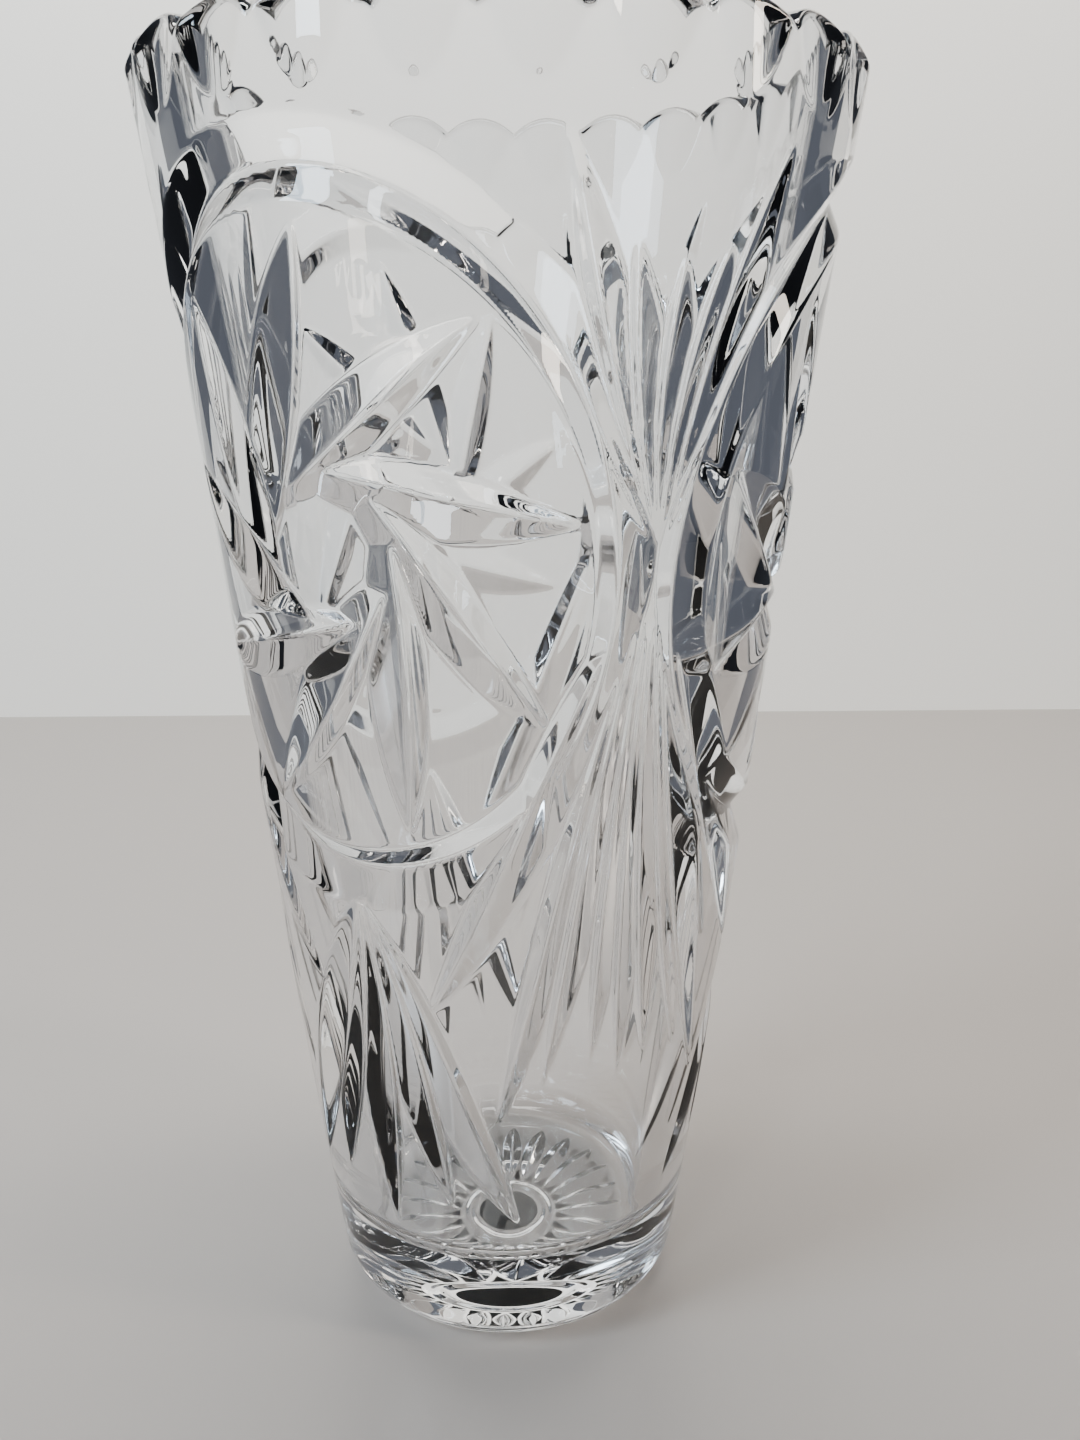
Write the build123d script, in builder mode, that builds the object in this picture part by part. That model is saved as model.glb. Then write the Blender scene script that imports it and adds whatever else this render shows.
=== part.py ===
from build123d import *
import math
import os

# Cut crystal vase, one piece of clear glass. Millimetres, +Z up, the table is
# Z = 0 and the axis of the vase is the Z axis. One medallion faces -Y.

# ---- driving dimensions ------------------------------------------------------
HEIGHT = 250.0          # table to the crests of the rim
FOOT_RADIUS = 36.6      # outside radius the wall would have at the table
RIM_RADIUS = 66.6       # outside radius at the rim
FLARE = 0.025           # fuller below and slimmer above a cone, as a share of the widening
WALL = 8.0              # glass thickness at the mouth
WALL_LOW = 9.5          # glass thickness just above the base
BASE = 19.0             # solid glass under the cavity
HEEL = 10.0             # rounding between wall and underside
FLOOR_CORNER = 7.0     # rounding where the cavity wall meets its floor
LIP = 1.6               # rounding of the lip

SECTORS = 3             # medallions, and the fans between them
FLUTES = 24             # thumbprint flutes round the rim
FLUTE_LENGTH = 14.0     # rim crest to the rounded lower end of a flute
FLUTE_DEPTH = 2.2       # glass ground away at the rim in the middle of a flute
SCALLOP = 3.0           # depth of the notches between the rim scallops

# The pattern is laid out in shares of the height, so it grows with the vase.
MEDALLION_Z = 0.672 * HEIGHT    # height of the medallion centres
RING_HIGH = 0.234 * HEIGHT      # half height of the groove round a medallion
RING_SPREAD = 0.936             # half width of that groove over the wall's radius
RING_INSIDE = 5.0               # width of the groove's inner flank
RING_OUTSIDE = 7.0              # width of its outer flank
RING_DEPTH = 3.0
BUTTON_RADIUS = 13.0            # circle that the leaves of a medallion run along
VANES = 9                       # swirling leaf cuts in a medallion
VANE_GAP = 2.25                 # clear glass between leaf tips and ring
VANE_WIDTH = 11.5
VANE_DEPTH = 4.2
VANE_FIRST = 6.0                # angle of the first leaf tip above the horizontal
VANE_LEAD = 0.22                # share of a leaf that lies before the button

# Leaf cuts of a fan: angle from the fan's axis to the tip in degrees, height of
# the tip as a share, width, depth. All but the middle one have a mirror image.
UPPER_FAN = [(0, 0.856, 7.0, 3.2), (8, 0.864, 7.5, 3.4), (18.5, 0.924, 8.0, 3.6), (16.5, 0.796, 7.0, 3.2)]
LOWER_FAN = [(0, 0.264, 7.0, 3.2), (7.5, 0.28, 7.0, 3.2), (19, 0.268, 7.5, 3.4), (30, 0.232, 8.0, 3.6)]
LOWER_FAN.append((45, 0.328, 9.5, 4.0))
SPRAY = [(0, 0.12, 8.5, 3.6), (18, 0.152, 8.5, 3.6), (36, 0.136, 9.5, 4.0)]
SPRAY_Z = 0.42 * HEIGHT         # top of the leaf cuts under each medallion
FAN_OPEN = 0.05                 # share of a leaf left off where the leaves meet

STAR_RAYS = 24          # radial cuts in the underside
STAR_INSIDE = 0.64      # inner ends of the rays, as a share of the flat's radius
STAR_OUTSIDE = 1.15     # where their outer ends run out on the heel, likewise
STAR_WIDTH = 5.0
STAR_DEPTH = 2.4
CIRCLE_SHARE = 0.464    # radius of the circle inside the rays, likewise
CIRCLE_WIDTH = 2.4
CIRCLE_DEPTH = 0.8
CLEAR = 3.0             # how far a cutter stands out of the glass


# ---- the outside surface -----------------------------------------------------
def outer_radius(z):
    share = z / HEIGHT
    bow = FLARE * math.sin(math.tau * share)
    return FOOT_RADIUS + (RIM_RADIUS - FOOT_RADIUS) * (share + bow)


def inner_radius(z):
    share = (z - BASE) / (HEIGHT - BASE)
    return outer_radius(z) - WALL_LOW - (WALL - WALL_LOW) * share


def on_wall(angle, z, out=0.0):
    """Point at an angle (degrees from -Y, anticlockwise) and height, out mm off the wall."""
    lean = (outer_radius(z + 1) - outer_radius(z - 1)) / 2
    size = math.hypot(1, lean)
    reach = outer_radius(z) + out / size
    turn = math.radians(angle)
    return Vector(reach * math.sin(turn), -reach * math.cos(turn), z - out * lean / size)


RING_WIDE = RING_SPREAD * outer_radius(MEDALLION_Z)
VANE_WIDE = RING_WIDE - RING_INSIDE - VANE_GAP
VANE_HIGH = RING_HIGH - RING_INSIDE - VANE_GAP
FLAT_RADIUS = outer_radius(HEEL) - HEEL


def beside(angle, z, across, up):
    """Angle and height of the wall point across mm sideways and up mm above another."""
    return angle + math.degrees(across / outer_radius(z + up)), z + up


# ---- cutters -----------------------------------------------------------------
def mitre_cut(start, end, deepest, out, width, depth):
    """V groove of a mitre wheel: its edge passes through start, deepest and end."""
    along = (end - start).normalized()
    out = (out - along * out.dot(along)).normalized()
    half = (end - start).length / 2
    foot = start + along * half
    dip = (foot - deepest).dot(out)
    dip = math.copysign(max(abs(dip), 0.05), dip)
    wheel = (half ** 2 + dip ** 2) / (2 * dip)
    keel = foot - out * dip
    axis = Axis(keel + out * wheel, along.cross(out))
    tall = depth + CLEAR
    flank = tall * width / (2 * depth)
    sweep_angle = 2.3 * math.degrees(math.asin(half / abs(wheel)))
    with BuildPart() as cutter:
        with BuildSketch(Plane(origin=keel, x_dir=out, z_dir=along)):
            with BuildLine():
                Polyline((0, 0), (tall, flank), (tall, -flank), close=True)
            make_face()
        revolve(axis=axis, revolution_arc=sweep_angle)
    return cutter.part.rotate(axis, -sweep_angle / 2)


def wall_cut(start, end, width, depth):
    """Leaf cut in the wall between two points given as (angle, height)."""
    angle = (start[0] + end[0]) / 2
    z = (start[1] + end[1]) / 2
    out = on_wall(angle, z, 1.0) - on_wall(angle, z)
    return mitre_cut(on_wall(*start), on_wall(*end), on_wall(angle, z, -depth), out, width, depth)


def fan_cuts(angle, z, fan):
    cuts = []
    for half_angle, tip_share, width, depth in fan:
        tip_z = tip_share * HEIGHT
        for side in (1, -1) if half_angle else (1,):
            root = (angle + side * half_angle * FAN_OPEN, z + (tip_z - z) * FAN_OPEN)
            cuts.append(wall_cut(root, (angle + side * half_angle, tip_z), width, depth))
    return cuts


def vane_cuts(angle):
    """Leaves that run along the edge of the round button and end at the ring."""
    cuts = []
    for vane in range(VANES):
        tip = math.radians(VANE_FIRST + 360 * vane / VANES)
        touch = tip + math.acos(BUTTON_RADIUS / VANE_WIDE)
        reach = Vector(VANE_WIDE * math.cos(tip), VANE_HIGH * math.sin(tip))
        button = Vector(math.cos(touch), math.sin(touch)) * BUTTON_RADIUS
        root = button - (reach - button) * VANE_LEAD
        ends = [beside(angle, MEDALLION_Z, place.X, place.Y) for place in (root, reach)]
        cuts.append(wall_cut(*ends, VANE_WIDTH, VANE_DEPTH))
    return cuts


def ring_cut(angle):
    """Closed V groove round a medallion, following the wall."""
    edges = []
    rise = (RING_DEPTH + CLEAR) / RING_DEPTH
    for out, grow in ((-RING_DEPTH, 0), (CLEAR, RING_OUTSIDE * rise), (CLEAR, -RING_INSIDE * rise)):
        points = []
        for step in range(24):
            turn = math.tau * step / 24
            across = (RING_WIDE + grow) * math.cos(turn)
            up = (RING_HIGH + grow) * math.sin(turn)
            points.append(on_wall(*beside(angle, MEDALLION_Z, across, up), out))
        edges.append(Edge.make_spline(points, periodic=True))
    pairs = ((0, 1), (0, 2), (1, 2))
    return Solid(Shell([Face.make_surface_from_curves(edges[a], edges[b]) for a, b in pairs]))


def flute_cut(angle):
    """Round groove running out at its lower end, open at the rim."""
    pitch = RIM_RADIUS * math.sin(math.pi / FLUTES)
    sag = RIM_RADIUS * (1 - math.cos(math.pi / FLUTES))
    wheel = pitch ** 2 / (2 * (FLUTE_DEPTH - sag))
    top = on_wall(angle, HEIGHT, wheel - FLUTE_DEPTH)
    low = on_wall(angle, HEIGHT - FLUTE_LENGTH, wheel)
    with BuildPart() as cutter:
        with BuildSketch(Plane(origin=low - (top - low) * 0.5, z_dir=top - low)):
            Circle(wheel)
        extrude(amount=(top - low).length * 2)
    return cutter.part


def notch_cut(angle):
    """Glass over the meeting point of two rim scallops."""
    pitch = RIM_RADIUS * math.tan(math.pi / FLUTES)
    radius = (pitch ** 2 + SCALLOP ** 2) / (2 * SCALLOP)
    turn = math.radians(angle)
    out = Vector(math.sin(turn), -math.cos(turn), 0)
    middle = pitch / 2
    drop = radius - math.sqrt(radius ** 2 - middle ** 2)
    inside = out * (RIM_RADIUS - 2 * WALL) + Vector(0, 0, HEIGHT)
    with BuildPart() as cutter:
        with BuildSketch(Plane(origin=inside, x_dir=(0, 0, 1), z_dir=out)):
            with BuildLine():
                ThreePointArc((-SCALLOP, 0), (-drop, middle), (0, pitch))
                Polyline((0, pitch), (CLEAR, pitch), (CLEAR, -pitch), (0, -pitch))
                ThreePointArc((0, -pitch), (-drop, -middle), (-SCALLOP, 0))
            make_face()
        extrude(amount=3 * WALL)
    return cutter.part


def star_cuts():
    cuts = []
    for ray in range(STAR_RAYS):
        turn = math.tau * ray / STAR_RAYS
        way = Vector(math.cos(turn), math.sin(turn), 0)
        start = way * STAR_INSIDE * FLAT_RADIUS
        end = way * STAR_OUTSIDE * FLAT_RADIUS
        deepest = (start + end) / 2 + Vector(0, 0, STAR_DEPTH)
        cuts.append(mitre_cut(start, end, deepest, Vector(0, 0, -1), STAR_WIDTH, STAR_DEPTH))
    return cuts


# Every cutter is made before the glass is begun.
ring_grooves = []
leaf_grooves = []
for sector in range(SECTORS):
    facing = 360 * sector / SECTORS
    between = facing + 180 / SECTORS
    ring_grooves.append(ring_cut(facing))
    leaf_grooves.append(vane_cuts(facing) + fan_cuts(facing, SPRAY_Z, SPRAY))
    for fan in (UPPER_FAN, LOWER_FAN):
        leaf_grooves.append(fan_cuts(between, MEDALLION_Z, fan))
flutes = [flute_cut(360 * (step + 0.5) / FLUTES) for step in range(FLUTES)]
notches = [notch_cut(360 * step / FLUTES) for step in range(FLUTES)]
star = star_cuts()

# ---- vase --------------------------------------------------------------------
os.makedirs("parts", exist_ok=True)
heights = [HEIGHT * step / 5 for step in range(6)]
inside_heights = [HEIGHT - (HEIGHT - BASE) * step / 5 for step in range(6)]

with BuildPart() as vase:
    with BuildSketch(Plane.XZ):
        with BuildLine():
            Polyline((0, BASE), (0, 0), (FOOT_RADIUS, 0))
            Spline(*[(outer_radius(z), z) for z in heights])
            Line((RIM_RADIUS, HEIGHT), (RIM_RADIUS - WALL, HEIGHT))
            Spline(*[(inner_radius(z), z) for z in inside_heights])
            Line((inner_radius(BASE), BASE), (0, BASE))
        make_face()
        corners = vertices()
        fillet(corners.filter_by(lambda v: v.Y > HEIGHT - 1), LIP)
        fillet(corners.filter_by(lambda v: v.Y < 1 and v.X > 1), HEEL)
        fillet(corners.filter_by(lambda v: abs(v.Y - BASE) < 1 and v.X > 1), FLOOR_CORNER)
    revolve(axis=Axis.Z)
    with BuildSketch(Plane.XZ):
        with Locations((CIRCLE_SHARE * FLAT_RADIUS, 0)):
            Polygon((-CIRCLE_WIDTH / 2, 0), (0, CIRCLE_DEPTH), (CIRCLE_WIDTH / 2, 0), align=None)
    revolve(axis=Axis.Z, mode=Mode.SUBTRACT)
    add(flutes, mode=Mode.SUBTRACT)
    add(notches, mode=Mode.SUBTRACT)
    add(star, mode=Mode.SUBTRACT)
    add(ring_grooves, mode=Mode.SUBTRACT)
    for group in leaf_grooves:
        add(group, mode=Mode.SUBTRACT)
    # Crossing cuts free thin chips of glass, which fall away.
    add(vase.part.solids().sort_by(SortBy.VOLUME)[-1], mode=Mode.REPLACE)
vase.part.label = "vase"
export_step(vase.part, "parts/vase.step")
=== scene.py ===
import math

import bpy
import numpy as np
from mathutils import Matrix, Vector


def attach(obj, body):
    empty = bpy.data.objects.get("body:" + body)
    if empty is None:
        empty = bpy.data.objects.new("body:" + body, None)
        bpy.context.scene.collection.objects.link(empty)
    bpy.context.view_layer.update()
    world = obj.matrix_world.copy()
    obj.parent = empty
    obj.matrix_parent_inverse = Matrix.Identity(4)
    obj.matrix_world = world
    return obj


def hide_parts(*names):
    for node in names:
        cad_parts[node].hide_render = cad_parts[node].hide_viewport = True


# Cut crystal vase. Metres in Blender, millimetres in the shape functions below.
# A turn angle is in degrees from -Y, anticlockwise seen from above.

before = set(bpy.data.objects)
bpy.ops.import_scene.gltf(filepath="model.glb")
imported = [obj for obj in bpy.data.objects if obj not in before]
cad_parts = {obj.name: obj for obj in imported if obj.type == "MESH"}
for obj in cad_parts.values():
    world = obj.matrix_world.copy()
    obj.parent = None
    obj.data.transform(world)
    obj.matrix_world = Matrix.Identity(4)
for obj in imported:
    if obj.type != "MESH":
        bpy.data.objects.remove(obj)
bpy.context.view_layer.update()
MM = 0.001

# ---- sizes in millimetres, the same as the CAD part's -------------------------
HEIGHT = 250.0
FOOT_RADIUS = 36.6      # outside radius the wall would have at the table
RIM_RADIUS = 66.6
FLARE = 0.025           # fuller below and slimmer above a cone, as a share of the widening
WALL = 8.0              # at the mouth
WALL_LOW = 9.5          # just above the base
BASE = 19.0             # solid glass under the cavity
HEEL = 10.0             # rounding between wall and underside
FLOOR_CORNER = 7.0      # rounding where the cavity wall meets its floor
LIP = 1.6
SECTORS = 3             # medallions, and the fans between them
FLUTES = 24             # thumbprint flutes round the rim
FLUTE_LENGTH = 14.0
FLUTE_DEPTH = 2.2
SCALLOP = 3.0           # depth of the notches between the rim scallops
MEDALLION_Z = 168.0
BUTTON_RADIUS = 13.0    # circle that the leaves of a medallion run along
VANES = 9               # swirling leaf cuts in a medallion
VANE_WIDE = 45.3        # half width and half height of the oval that their tips lie on
VANE_HIGH = 51.25
VANE_WIDTH = 11.5
VANE_DEPTH = 4.2
VANE_LEAD = 0.22        # share of a leaf that lies before the button
VANE_FIRST = 6.0        # angle of the first leaf tip above the horizontal
RING_WIDE = 52.5        # half width and half height of the groove round a medallion
RING_HIGH = 58.5
RING_INSIDE = 5.0       # widths of its two flanks
RING_OUTSIDE = 7.0
RING_DEPTH = 3.0

# Leaf cuts of a fan: angle from the fan's axis to the tip in degrees, height of
# the tip, width, depth. All but the middle one have a mirror image.
UPPER_FAN = [(0, 214, 7.0, 3.2), (8, 216, 7.5, 3.4), (18.5, 231, 8.0, 3.6), (16.5, 199, 7.0, 3.2)]
LOWER_FAN = [(0, 66, 7.0, 3.2), (7.5, 70, 7.0, 3.2), (19, 67, 7.5, 3.4), (30, 58, 8.0, 3.6)]
LOWER_FAN.append((45, 82, 9.5, 4.0))
SPRAY = [(0, 30, 8.5, 3.6), (18, 38, 8.5, 3.6), (36, 34, 9.5, 4.0)]
SPRAY_Z = 105.0

# Radial cuts and a circle in the underside. The CAD part's rays begin 6 mm further
# out and its circle is 4 mm larger in radius.
STAR_RAYS = 24
STAR_INSIDE = 12.0
STAR_OUTSIDE = 32.2
STAR_WIDTH = 5.0
STAR_DEPTH = 2.4
CIRCLE_RADIUS = 9.0
CIRCLE_WIDTH = 2.4
CIRCLE_DEPTH = 0.8

# ---- how finely the glass is meshed ------------------------------------------
COLUMNS = 936           # round the vase, a multiple of sectors, flutes and rays
WALL_ROWS = 430
SOFTEN = 0.33           # mm, how far the polish has rounded the cut edges

# ---- camera and light --------------------------------------------------------
CAMERA_TURN = 33.0      # the camera stands this far round from the front medallion
CAMERA_AWAY = 0.2614
CAMERA_HIGH = 0.1995
CAMERA_PITCH = 0.275    # radians below the horizon
CAMERA_YAW = -0.028
CAMERA_LENS = 32.5


# ---- the outside surface -----------------------------------------------------
def outer_radius(z):
    share = z / HEIGHT
    return FOOT_RADIUS + (RIM_RADIUS - FOOT_RADIUS) * (share + FLARE * np.sin(2 * np.pi * share))


def inner_radius(z):
    share = (z - BASE) / (HEIGHT - BASE)
    return outer_radius(z) - WALL_LOW - (WALL - WALL_LOW) * share


def wall_point(angle, z, out=0.0):
    lean = (outer_radius(z + 1) - outer_radius(z - 1)) / 2
    size = np.hypot(1, lean)
    reach = outer_radius(z) + out / size
    turn = np.radians(angle)
    return np.stack([reach * np.sin(turn), -reach * np.cos(turn), z - out * lean / size], -1)


def beside(angle, z, across, up):
    return angle + math.degrees(across / outer_radius(z + up)), z + up


def unit(v):
    return v / np.linalg.norm(v, axis=-1, keepdims=True)


# ---- cuts, as depths of ground away glass ------------------------------------
def mitre_depth(points, normals, start, end, deepest, out, width, depth):
    """Depth below each point of the V groove whose keel runs in an arc through three points."""
    along = unit(end - start)
    out = unit(out - along * out.dot(along))
    side = np.cross(along, out)
    half = np.linalg.norm(end - start) / 2
    foot = (start + end) / 2
    dip = (foot - deepest).dot(out)
    dip = math.copysign(max(abs(dip), 0.05), dip)
    wheel = (half ** 2 + dip ** 2) / (2 * dip)
    away = points - foot
    lengthways = away @ along
    inside = np.maximum(wheel ** 2 - lengthways ** 2, 0)
    keel = (wheel - dip) - math.copysign(1, wheel) * np.sqrt(inside)
    level = away @ out - keel - np.abs(away @ side) * 2 * depth / width
    facing = normals @ out
    near = (np.abs(lengthways) < half * 1.1) & (facing > 0.3)
    return np.where(near, level / np.maximum(facing, 0.3), 0)


def wall_cut(points, normals, start, end, width, depth):
    angle = (start[0] + end[0]) / 2
    z = (start[1] + end[1]) / 2
    out = wall_point(angle, z, 1.0) - wall_point(angle, z)
    ends = wall_point(*start), wall_point(*end)
    return mitre_depth(points, normals, *ends, wall_point(angle, z, -depth), out, width, depth)


def fan_list(angle, z, fan):
    cuts = []
    for half_angle, tip_z, width, depth in fan:
        for side in (1, -1) if half_angle else (1,):
            cuts.append(((angle, z), (angle + side * half_angle, tip_z), width, depth))
    return cuts


def vane_list(angle):
    cuts = []
    for vane in range(VANES):
        tip = math.radians(VANE_FIRST + 360 * vane / VANES)
        touch = tip + math.acos(BUTTON_RADIUS / VANE_WIDE)
        reach = np.array([VANE_WIDE * math.cos(tip), VANE_HIGH * math.sin(tip)])
        button = BUTTON_RADIUS * np.array([math.cos(touch), math.sin(touch)])
        root = button - (reach - button) * VANE_LEAD
        ends = [beside(angle, MEDALLION_Z, *place) for place in (root, reach)]
        cuts.append((*ends, VANE_WIDTH, VANE_DEPTH))
    return cuts


def ring_depth(angles, z, middle):
    """Depth of the closed V groove round a medallion."""
    across = np.radians((angles - middle + 180) % 360 - 180) * outer_radius(z)
    up = z - MEDALLION_Z
    size = np.hypot(across / RING_WIDE, up / RING_HIGH)
    steep = np.hypot(across / RING_WIDE ** 2, up / RING_HIGH ** 2) / np.maximum(size, 1e-6)
    distance = (size - 1) / np.maximum(steep, 1e-6)
    return RING_DEPTH * (1 - np.maximum(distance / RING_OUTSIDE, -distance / RING_INSIDE))


def flute_depth(angles, z):
    pitch = 360 / FLUTES
    aside = np.radians(angles % pitch - pitch / 2) * outer_radius(z)
    half = RIM_RADIUS * math.sin(math.pi / FLUTES)
    sag = RIM_RADIUS * (1 - math.cos(math.pi / FLUTES))
    bend = (FLUTE_DEPTH - sag) / half ** 2 + 1 / (2 * RIM_RADIUS)
    return FLUTE_DEPTH * (z - HEIGHT + FLUTE_LENGTH) / FLUTE_LENGTH - bend * aside ** 2


def rim_drop(angles):
    """How far the rim's edge lies below its crests."""
    half = RIM_RADIUS * math.tan(math.pi / FLUTES)
    radius = (half ** 2 + SCALLOP ** 2) / (2 * SCALLOP)
    pitch = 360 / FLUTES
    aside = np.radians(angles % pitch - pitch / 2) * RIM_RADIUS
    return radius - np.sqrt(radius ** 2 - aside ** 2)


def blurred(field, row_steps, column_steps):
    """Gaussian smoothing of a field that closes on itself from column to column."""
    for axis, sigma in ((0, row_steps), (1, column_steps)):
        reach = max(1, int(3 * sigma))
        weights = np.exp(-0.5 * (np.arange(-reach, reach + 1) / sigma) ** 2)
        weights /= weights.sum()
        if axis:
            padded = np.concatenate([field[:, -reach:], field, field[:, :reach]], 1)
            field = sum(w * padded[:, k:k + field.shape[1]] for k, w in enumerate(weights))
        else:
            padded = np.concatenate([field[:1]] * reach + [field] + [field[-1:]] * reach, 0)
            field = sum(w * padded[k:k + field.shape[0]] for k, w in enumerate(weights))
    return field


# ---- the glass ---------------------------------------------------------------
TURNS = np.arange(COLUMNS) * 360 / COLUMNS
LEAN = math.atan((outer_radius(HEEL) - outer_radius(0)) / HEEL)
WALL_START = HEEL * (1 - math.sin(LEAN))
FLAT_RADIUS = outer_radius(WALL_START) - HEEL * math.cos(LEAN)


def circle(radius, z):
    """One closed row of points, radius and height given for all or for each turn."""
    turn = np.radians(TURNS)
    return np.stack([radius * np.sin(turn), -radius * np.cos(turn), z + 0 * turn], -1)


def outer_wall():
    """Rows of the cut outer wall, from the top of the heel to the foot of the lip."""
    shares = np.linspace(0, 1, WALL_ROWS)[:, None]
    top = HEIGHT - LIP
    settle = np.clip((shares - 0.85) / 0.15, 0, 1) ** 2
    z = WALL_START + (top - WALL_START) * shares - rim_drop(TURNS)[None, :] * settle
    angles = np.broadcast_to(TURNS, z.shape)
    part = (slice(None), slice(0, COLUMNS // SECTORS))
    points = wall_point(angles[part], z[part])
    normals = unit(wall_point(angles[part], z[part], 1.0) - points)
    depth = np.zeros(z[part].shape)
    for turn in (-360 / SECTORS, 0, 360 / SECTORS):
        cuts = vane_list(turn) + fan_list(turn, SPRAY_Z, SPRAY)
        for fan in (UPPER_FAN, LOWER_FAN):
            cuts += fan_list(turn + 180 / SECTORS, MEDALLION_Z, fan)
        depth = np.maximum(depth, ring_depth(angles[part], z[part], turn))
        for cut in cuts:
            depth = np.maximum(depth, wall_cut(points, normals, *cut))
    depth = np.maximum(np.tile(depth, (1, SECTORS)), flute_depth(angles, z))
    row_mm = (top - WALL_START) / WALL_ROWS
    column_mm = 2 * np.pi * outer_radius(MEDALLION_Z) / COLUMNS
    return wall_point(angles, z, -blurred(depth, SOFTEN / row_mm, SOFTEN / column_mm))


def underside():
    """Rows from the middle out over the circle and the ring of rays and round the heel."""
    rows = [circle(FLAT_RADIUS * share, 0) for share in np.linspace(0.01, 1, 90)]
    for roll in np.linspace(-math.pi / 2, -LEAN, 40)[1:-1]:
        rows.append(circle(FLAT_RADIUS + HEEL * math.cos(roll), HEEL + HEEL * math.sin(roll)))
    rows = np.stack(rows)
    down = np.zeros(rows.shape)
    down[..., 2] = -1
    reach = np.hypot(rows[..., 0], rows[..., 1])
    depth = np.maximum(CIRCLE_DEPTH * (1 - np.abs(reach - CIRCLE_RADIUS) * 2 / CIRCLE_WIDTH), 0)
    for ray in range(STAR_RAYS):
        turn = math.tau * ray / STAR_RAYS
        way = np.array([math.cos(turn), math.sin(turn), 0])
        start = way * STAR_INSIDE
        end = way * STAR_OUTSIDE
        deepest = (start + end) / 2 + np.array([0, 0, STAR_DEPTH])
        ray_depth = mitre_depth(rows, down, start, end, deepest, down[0, 0], STAR_WIDTH, STAR_DEPTH)
        depth = np.maximum(depth, ray_depth)
    rows[..., 2] += blurred(depth, 1.0, 1.0)
    return rows


def lip_and_cavity(edge):
    """Rows from the wall's top edge over the lip, down the cavity and across its floor."""
    start = np.hypot(edge[:, 0], edge[:, 1])
    foot = edge[:, 2]
    rows = []
    for roll in np.linspace(0, math.pi / 2, 9)[1:]:
        rows.append(circle(start - LIP * (1 - math.cos(roll)), foot + LIP * math.sin(roll)))
    for roll in np.linspace(math.pi / 2, 0, 9):
        rows.append(circle(inner_radius(foot) + LIP * (1 - math.cos(roll)), foot + LIP * math.sin(roll)))
    corner = BASE + FLOOR_CORNER
    for share in np.linspace(0, 1, 70)[1:]:
        z = foot * (1 - share) + corner * share
        rows.append(circle(inner_radius(z), z))
    bend = inner_radius(corner) - FLOOR_CORNER
    for roll in np.linspace(0, math.pi / 2, 14)[1:]:
        rows.append(circle(bend + FLOOR_CORNER * math.cos(roll), corner - FLOOR_CORNER * math.sin(roll)))
    for share in np.linspace(1, 0.02, 16)[1:]:
        rows.append(circle(bend * share, BASE))
    return np.stack(rows)


def glass_mesh():
    wall = outer_wall()
    rows = np.concatenate([underside(), wall, lip_and_cavity(wall[-1])])
    count = rows.shape[0]
    points = np.concatenate([rows.reshape(-1, 3), [[0, 0, 0.0], [0, 0, BASE]]]) * MM
    row, column = np.meshgrid(np.arange(count - 1), np.arange(COLUMNS), indexing="ij")
    right = (column + 1) % COLUMNS
    this_row = row * COLUMNS
    next_row = this_row + COLUMNS
    corners = (this_row + column, this_row + right, next_row + right, next_row + column)
    quads = np.stack(corners, -1).reshape(-1, 4)
    around = np.arange(COLUMNS)
    after = (around + 1) % COLUMNS
    last = (count - 1) * COLUMNS
    low_cap = np.stack([0 * around + count * COLUMNS, after, around], -1)
    top_cap = np.stack([0 * around + count * COLUMNS + 1, last + around, last + after], -1)
    mesh = bpy.data.meshes.new("vase_glass")
    loops = np.concatenate([quads.ravel(), low_cap.ravel(), top_cap.ravel()])
    sizes = np.concatenate([np.full(len(quads), 4), np.full(2 * COLUMNS, 3)])
    mesh.vertices.add(len(points))
    mesh.vertices.foreach_set("co", points.astype(np.float32).ravel())
    mesh.loops.add(len(loops))
    mesh.loops.foreach_set("vertex_index", loops.astype(np.int32))
    mesh.polygons.add(len(sizes))
    mesh.polygons.foreach_set("loop_start", (np.cumsum(sizes) - sizes).astype(np.int32))
    mesh.update(calc_edges=True)
    mesh.shade_smooth()
    return mesh


glass = bpy.data.objects.new("vase_glass", glass_mesh())
bpy.context.scene.collection.objects.link(glass)


# ---- the glass material ------------------------------------------------------
def glass_material():
    """Clear lead crystal with the faint waviness and haze of polished, handled glass."""
    material = bpy.data.materials.new("crystal")
    material.use_nodes = True
    nodes = material.node_tree.nodes
    links = material.node_tree.links
    shader = nodes["Principled BSDF"]
    shader.inputs["Base Color"].default_value = (0.985, 0.992, 1.0, 1)
    shader.inputs["IOR"].default_value = 1.54
    shader.inputs["Transmission Weight"].default_value = 1.0
    place = nodes.new("ShaderNodeTexCoord")
    haze = nodes.new("ShaderNodeTexNoise")
    haze.inputs["Scale"].default_value = 22
    haze.inputs["Detail"].default_value = 5
    links.new(place.outputs["Object"], haze.inputs["Vector"])
    dull = nodes.new("ShaderNodeMapRange")
    dull.inputs["From Min"].default_value = 0.5
    dull.inputs["From Max"].default_value = 0.8
    dull.inputs["To Min"].default_value = 0.0
    dull.inputs["To Max"].default_value = 0.05
    links.new(haze.outputs["Fac"], dull.inputs["Value"])
    links.new(dull.outputs["Result"], shader.inputs["Roughness"])
    wave = nodes.new("ShaderNodeTexNoise")
    wave.inputs["Scale"].default_value = 40
    wave.inputs["Detail"].default_value = 2
    links.new(place.outputs["Object"], wave.inputs["Vector"])
    bump = nodes.new("ShaderNodeBump")
    bump.inputs["Strength"].default_value = 0.06
    bump.inputs["Distance"].default_value = 0.0004
    links.new(wave.outputs["Fac"], bump.inputs["Height"])
    links.new(bump.outputs["Normal"], shader.inputs["Normal"])
    return material


glass.data.materials.append(glass_material())
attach(glass, "root")
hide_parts("vase")


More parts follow.
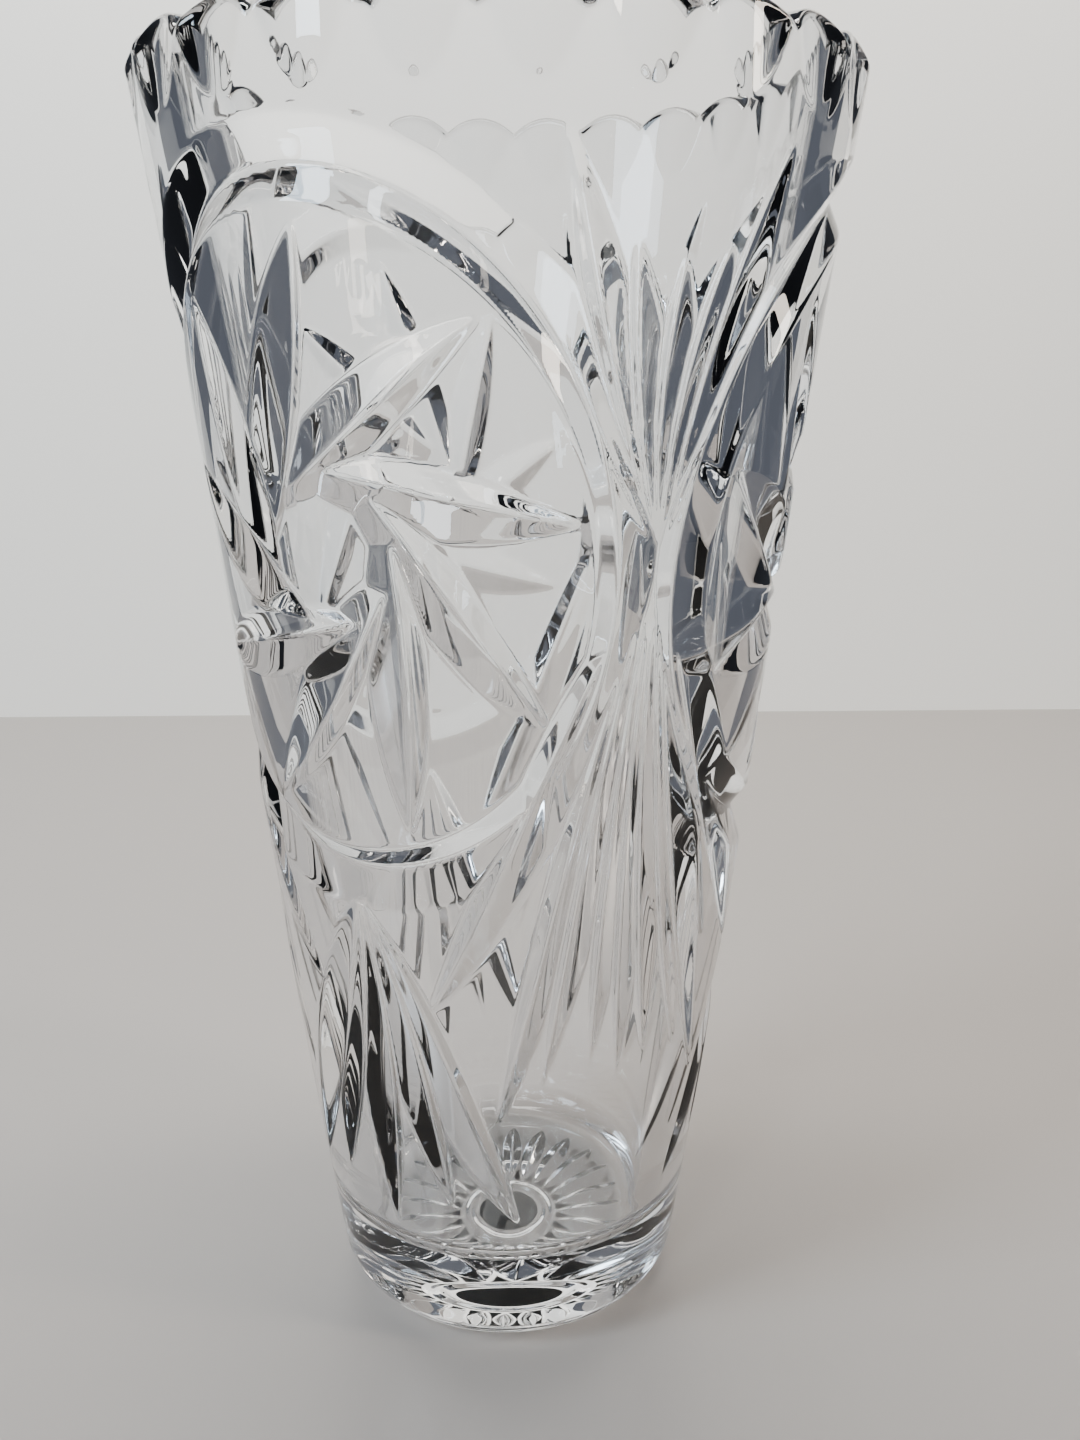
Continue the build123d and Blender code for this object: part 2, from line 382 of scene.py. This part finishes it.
# ---- floor, backdrop and light -----------------------------------------------
def plain_material(name, colour, roughness):
    material = bpy.data.materials.new(name)
    material.use_nodes = True
    shader = material.node_tree.nodes["Principled BSDF"]
    shader.inputs["Base Color"].default_value = (*colour, 1)
    shader.inputs["Roughness"].default_value = roughness
    return material


def sheet_between(name, corners, material):
    mesh = bpy.data.meshes.new(name)
    mesh.from_pydata(corners, [], [(0, 1, 2, 3)])
    mesh.materials.append(material)
    made = bpy.data.objects.new(name, mesh)
    bpy.context.scene.collection.objects.link(made)
    return made


def toward(turn, away, height):
    """A point seen from above at a turn from -Y, in metres."""
    spin = math.radians(turn)
    return Vector((away * math.sin(spin), -away * math.cos(spin), height))


def area_light(name, place, aim, width, height, power, colour):
    data = bpy.data.lights.new(name, "AREA")
    data.shape = "RECTANGLE"
    data.size = width
    data.size_y = height
    data.energy = power
    data.color = colour
    lamp = bpy.data.objects.new(name, data)
    lamp.location = place
    lamp.rotation_euler = (Vector(aim) - Vector(place)).to_track_quat("-Z", "Y").to_euler()
    bpy.context.scene.collection.objects.link(lamp)
    return lamp


floor_paint = plain_material("floor_paint", (0.33, 0.30, 0.275), 0.35)
wall_paint = plain_material("wall_paint", (0.86, 0.83, 0.77), 0.9)
ahead = toward(CAMERA_TURN + 180, 1, 0)
aside = toward(CAMERA_TURN + 90, 1, 0)
floor_outline = ((-0.46, -0.8), (0.46, -0.8), (0.46, 0.46), (-0.46, 0.46))
floor_corners = [ahead * y + aside * x for x, y in floor_outline]
sheet_between("floor", floor_corners, floor_paint)
wall_outline = ((-0.46, 0), (0.46, 0), (0.46, 0.62), (-0.46, 0.62))
wall_corners = [ahead * 0.46 + aside * x + Vector((0, 0, z)) for x, z in wall_outline]
sheet_between("backdrop", wall_corners, wall_paint)

area_light("window", toward(CAMERA_TURN - 62, 0.95, 0.75), (0, 0, 0.16), 0.35, 0.6, 15, (0.74, 0.87, 1.0))
area_light("lamp", toward(CAMERA_TURN + 70, 1.0, 0.6), (0, 0, 0.12), 0.15, 0.5, 6, (1.0, 0.90, 0.78))
wash_aim = toward(CAMERA_TURN + 180, 0.46, 0.3)
area_light("wash", toward(CAMERA_TURN + 180, 0.12, 1.0), wash_aim, 0.7, 0.15, 14, (1.0, 0.98, 0.95))
area_light("strip", toward(CAMERA_TURN - 20, 0.8, 1.0), (0, 0, 0.2), 0.1, 0.5, 3, (0.85, 0.93, 1.0))

world = bpy.data.worlds.new("studio")
bpy.context.scene.world = world
world.use_nodes = True
room = world.node_tree.nodes["Background"]
room.inputs["Color"].default_value = (0.42, 0.46, 0.56, 1)
room.inputs["Strength"].default_value = 0.24

camera_data = bpy.data.cameras.new("camera")
camera_data.lens = CAMERA_LENS
camera_data.sensor_width = 36
camera_data.clip_start = 0.01
camera = bpy.data.objects.new("camera", camera_data)
camera.location = toward(CAMERA_TURN, CAMERA_AWAY, CAMERA_HIGH)
camera.rotation_euler = (math.pi / 2 - CAMERA_PITCH, 0, math.radians(CAMERA_TURN) + CAMERA_YAW)
bpy.context.scene.collection.objects.link(camera)
bpy.context.scene.camera = camera
